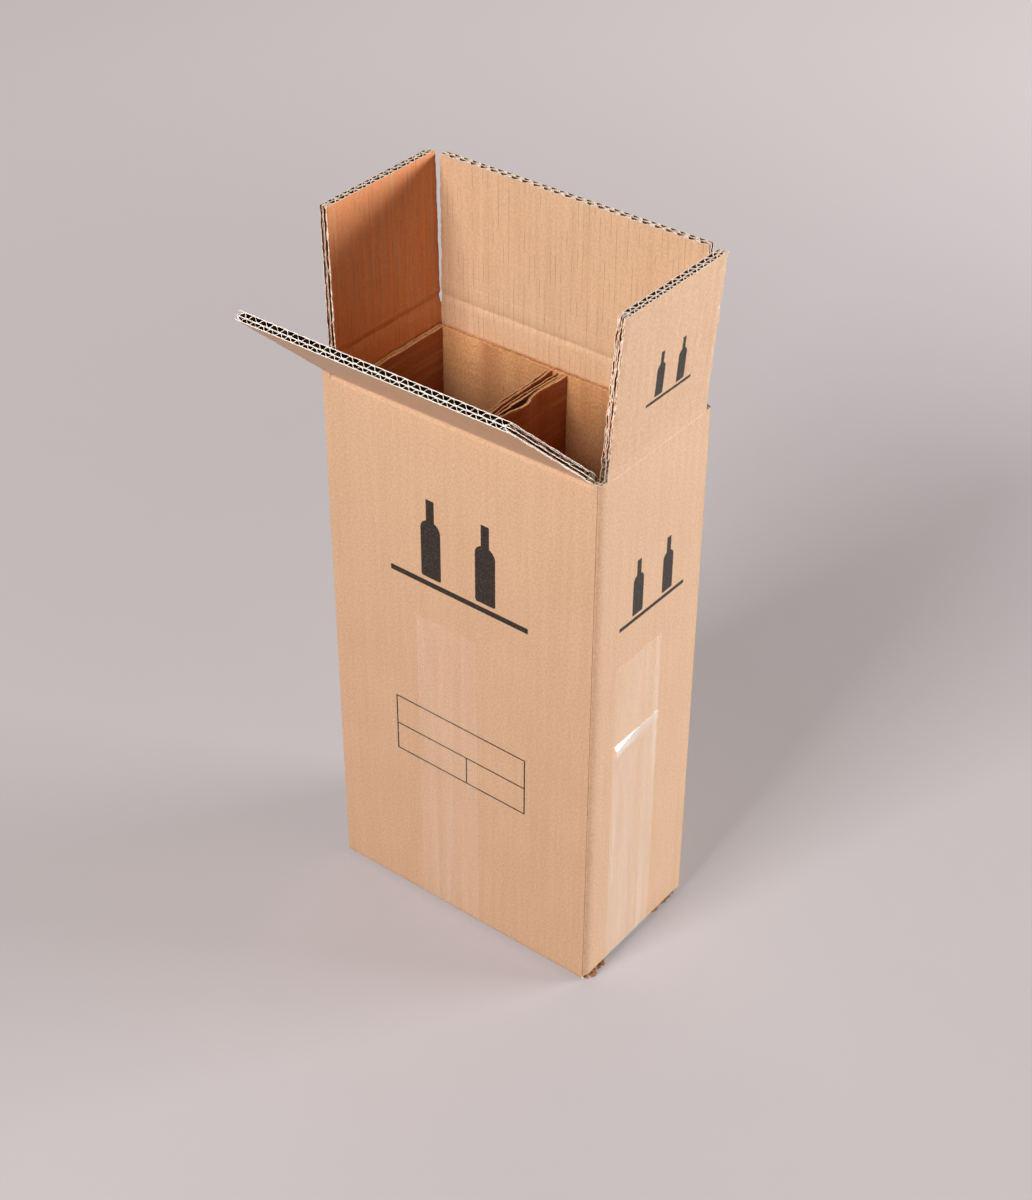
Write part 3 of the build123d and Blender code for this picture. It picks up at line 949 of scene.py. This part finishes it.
# The divider's top edge has warped: where each of its liners stands at the rim, in mm, from the
# front of the divider to its back.
rim_places = {
    "left_cell": (
        (-43, -4.4), (-30, -6.6), (-17.6, -8.2), (-9.6, -7.6),
        (-1.2, -9.0), (14, -8.6), (32, -8.2), (46.5, -10.2),
    ),
    "left_gap": (
        (-43, -0.4), (-30, -3.4), (-17.6, -4.6), (-9.6, -5.0),
        (-1.2, -5.6), (14, -5.6), (32, -5.4), (46.5, -6.4),
    ),
    "loose": ((-30, -1.9), (-17.6, -2.4), (-8.6, -3.3), (6, -3.6), (20, -2.9), (33, -2.5), (46.5, -2.2)),
    "right_core": ((-43, 4.2), (-15.7, 3.4), (0, 3.0), (17.8, 2.8), (34.5, 4.4), (46.5, 5.4)),
    "right_gap": ((-43, 0.4), (-17.6, -0.3), (0, -1.0), (14, -0.7), (32, 0.0), (46.5, 0.8)),
    "right_cell": (
        (-43, 4.4), (-30, 4.0), (-15.7, 3.5), (-9.8, 4.4), (-5.2, 6.3), (2, 7.4),
        (7, 6.4), (11.5, 4.4), (17.8, 3.1), (26.4, 4.2), (34.5, 4.7), (46.5, 5.8),
    ),
}


def rim_place(name, depth):
    """Where a liner stands at the rim for each depth: its points joined by straight lines, rounded
    by averaging over 5 mm, with a fine ripple."""
    depths, places = np.array(rim_places[name]).T / 1000
    window = np.linspace(-0.0025, 0.0025, 9)
    smooth = np.mean([np.interp(depth + step, depths, places) for step in window], axis=0)
    return smooth + 0.00018 * wobble(depth, len(name), 0.012, 4)


def rim_shift(cell_side, right_cell):
    """How far a face of the strip moves towards its cell at the rim: from the straight board to the
    warped line on the two leaves, and a slight ripple elsewhere."""
    names = ("left_cell", right_cell) if cell_side else ("left_gap", "right_gap")
    face = mid if cell_side else -mid
    depth = strip_line[:, 1]
    left = strip_line[:, 0] - rim_place(names[0], depth) - face
    right = rim_place(names[1], depth) - strip_line[:, 0] - face
    rest = 0.0002 * wobble(strip_length, 31 + cell_side, 0.04)
    ease = np.clip((depth - front_y - 0.003) / 0.006, 0, 1)
    return np.where(on_left, left * ease, np.where(on_right, right * ease, rest))


lens_part = np.exp(-((strip_line[:, 1] - 0.001) / 0.010) ** 2) * on_right
warp_start, lens_start = 0.76, 0.90


def strip_sheet(near, far, seed, ragged, drop=0.0, right_cell="right_cell", **slots):
    """A layer of the insert between two depths across the strip, up to a ragged top edge that lies
    lower by a drop. Towards the rim each face goes over to its warped line, later where the right
    leaf's liner stands off as a lens."""
    heights = np.concatenate([np.linspace(0, 0.7, 6), np.linspace(warp_start, 1, 22)])
    uneven = ragged * (0.5 + 0.5 * wobble(strip_length, seed, 0.03, 7))
    warp = np.clip((heights - warp_start) / (1 - warp_start), 0, 1) ** 1.6
    lens = np.clip((heights - lens_start) / (1 - lens_start), 0, 1) ** 1.3
    fade = warp[:, None] * (1 - lens_part)[None] + lens[:, None] * lens_part[None]
    rise = floor_height + (rim_height - uneven - drop - floor_height)[None] * heights[:, None]
    grids = []
    for depth in (near, far):
        share = (depth + mid) / (2 * mid)
        shift = rim_shift(True, right_cell) * share + rim_shift(False, right_cell) * (1 - share)
        plan = strip_line[None] + to_cell[None] * (depth + shift[None] * fade)[..., None]
        grids.append(upright_grid(plan, rise))
    return sheet(*grids, **slots)


around = (30, 30, 1)
# The insert's side panels and divider are tinted much darker than its back panel: painted shade, for the
# shade inside its cells.
cell_shade_tint = (0.47, 0.25, 0.14, 1)
insert_paper = board_paper(
    "insert_paper", insert_light, insert_dark, level_flutes, 0.25,
    1.9, 1.6, 0.00006, painted_shade=(cell_shade_share, cell_shade_tint), stretch=around,
)
core_light, core_dark = (0.74, 0.42, 0.20, 1), (0.34, 0.16, 0.07, 1)
core_paper = board_paper("insert_core", core_light, core_dark, level_flutes, 0.0, stretch=around)
rim_light, rim_dark = (0.98, 0.56, 0.29, 1), (0.66, 0.34, 0.15, 1)
insert_cut = board_paper("insert_cut_paper", rim_light, rim_dark, level_flutes, 0.0, 1.5, stretch=around)
insert_sheets = [
    strip_sheet(-mid, -mid + insert_liner, 11, 0.0007, back_slot=2),
    strip_sheet(mid - insert_liner, mid, 12, 0.0008, face_slot=2),
]
insert_liners = build("insert_liners", insert_sheets, (insert_paper, insert_cut, shaded_flute_paper))
sunk = 0.0007 * (on_left | on_right) + 0.009 * lens_part
core_sheet = strip_sheet(-mid + insert_liner, mid - insert_liner, 13, 0.0006, sunk, "right_core")
insert_core = build("insert_flutes", [core_sheet], (core_paper, core_paper))

# The left leaf's liner on the side of the gap has come off its flutes at the top.
depths, heights = np.meshgrid(np.linspace(-0.032, 0.0460, 110), np.linspace(0, 1, 14))
leaf_face = np.interp(depths, left_leaf[::-1, 1], left_leaf[::-1, 0]) + mid
loose_line = leaf_face + (rim_place("loose", depths) - leaf_face) * heights ** 1.5
loose_top = rim_height - 0.0004 - 0.0006 * (0.5 + 0.5 * wobble(depths, 41, 0.02, 6))
loose_rise = loose_top - 0.055 * (1 - heights)
loose_face = np.stack([loose_line, depths, loose_rise], -1)
loose_sheet = sheet(loose_face, loose_face + (0.0006, 0, 0))
loose_liner = build("insert_loose_liner", [loose_sheet], (insert_paper, insert_cut))
for made in (insert_liners, insert_core, loose_liner):
    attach(made, "carton")
    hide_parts("bottle_insert")


# Clear packing tape, three strips stuck round the bottom. The film lies flat on the board, with
# long creases, a few blisters and a lifted top end where the second strip was pulled off the roll.
film, tape_width, lift = 0.0002, 0.050, 0.00002
lifted_top, lifted_length, lifted_angle = 0.198, 0.012, 35


def tape_material(name, seed, haze, lifted):
    """Clear film: nearly colourless and glossy, with fine pale lines along the strip where it is
    creased, and hazier where air is under it. At the lifted end it is made paler and more opaque:
    partly haze over the air under it and partly a painted highlight for the glare there."""
    made, shader, place = new_material(name)
    crease = place.noise(420.0, 2.0, (1, 1, 60.0), (seed, 0, 0)).rise(0.52, 0.72)
    streak = place.noise(120.0, 3.0, (1, 1, 20.0), (0, seed, 0)).rise(0.3, 0.7)
    blotch = place.noise(45.0, 3.0, (1, 1, 3.0), (0, 0, seed))
    fine = place.noise(420.0, 2.0, (1, 1, 8.0), (seed, seed, 0))
    alpha = (streak * 0.8 + blotch * 0.9 + crease * 0.6) * haze
    # Near the lifted top the film is made paler and more opaque: partly haze, partly painted highlight for
    # its glare.
    if lifted:
        across = place.axis(1).rise(-0.036, 0.010)
        near_top = place.axis(2).rise(lifted_top - lifted_length, lifted_top - 0.004) * (1.0 - across * 0.6)
        alpha = alpha.at_least(near_top * 0.42)
    tint = crease.between((0.80, 0.77, 0.74, 1), (0.92, 0.90, 0.88, 1))
    bumps = relief(streak, 0.6, 0.00035, relief(fine, 0.35, 0.00010))
    connect(shader, Base_Color=tint, Alpha=alpha, Roughness=0.14 + blotch * 0.14, Normal=bumps)
    connect(shader, Coat_Weight=0.4, Coat_Roughness=0.10, Specular_IOR_Level=0.6)
    return made


def tape_strip(name, side, middle, lift, under_lift, bend, near_top, far_top, seed, haze, curl=0.0):
    """A strip of film from near_top on one wall, down, under the bottom and up to far_top on the
    opposite wall: a U with rounded corners, carried across the strip's width, with fine wrinkles.
    With a curl, the near corner of its top end stands off the wall: it slants in to the wall at
    the very edge, over a length that grows towards the corner, and eases down below that."""
    outer = sides[side][2] + lift
    low = base_level - under_lift
    near_end = np.arange(0, lifted_length, 0.0004)
    down = np.concatenate([near_top - near_end, np.linspace(near_top - lifted_length, low + bend, 80)])
    up_again = np.linspace(low + bend, far_top, 50)
    floor_run = np.linspace(-outer + bend, outer - bend, 50)
    path = np.concatenate([
        np.stack([np.full_like(down, -outer), down], -1),
        quarter_turn((-outer, low), (0, -1), (1, 0), bend, 10)[1:-1],
        np.stack([floor_run, np.full_like(floor_run, low)], -1),
        quarter_turn((outer, low), (1, 0), (0, 1), bend, 10)[1:-1],
        np.stack([np.full_like(up_again, outer), up_again], -1),
    ])
    from_top = length_along(path)[:, None]
    outward = right_of(path)
    width = np.linspace(-tape_width / 2, tape_width / 2, 90)
    on_wall = np.clip((path[:, 1] - low - bend) / 0.02, 0, 1)
    wrinkle_height = 0.00008 if curl else 0.00002
    wrinkles = np.clip(wobble(width + seed, int(seed), 0.021, 6), 0, 1)
    wrinkle = wrinkle_height * wrinkles[None] * on_wall[:, None]
    facet = curl * (0.14 + 0.86 * np.clip(-width[None] / (tape_width / 2), 0, 1)) + 1e-6
    slanted = np.minimum(from_top, facet) * math.tan(math.radians(lifted_angle))
    lifted = slanted * np.exp(-(np.maximum(from_top - facet, 0) / 0.009) ** 2)
    raised = wrinkle + lifted * (curl > 0)
    shift = middle + np.zeros_like(from_top) + width[None]
    grids = []
    for depth in (0.0, 0.85 * film):
        section = path[:, None] + outward[:, None] * (depth + raised)[..., None]
        grids.append(upright_grid(plan_points(side, shift, section[..., 0]), section[..., 1]))
    strip_film = tape_material(name + "_film", seed, haze, curl > 0)
    made = build(name, [sheet(*grids, row_rim=0, column_rim=0)], (strip_film,), 70)
    made.visible_shadow = False
    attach(made, "carton")
    return made


front_tape = tape_strip("front_strip", "front", -0.011, lift, 0.0004, 0.0052, 0.252, 0.200, 5.3, 0.035)
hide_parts("front_tape")
side_tape = tape_strip("side_strip", "right", -0.0108, lift, 0.0, 0.0067, 0.262, 0.190, 7.1, 0.068)
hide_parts("side_tape")
cover_tape = tape_strip(
    "cover_strip", "right", -0.0096, lift + film, film, 0.0069, lifted_top, 0.150, 9.7, 0.038, 0.0030
)
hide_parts("cover_tape")
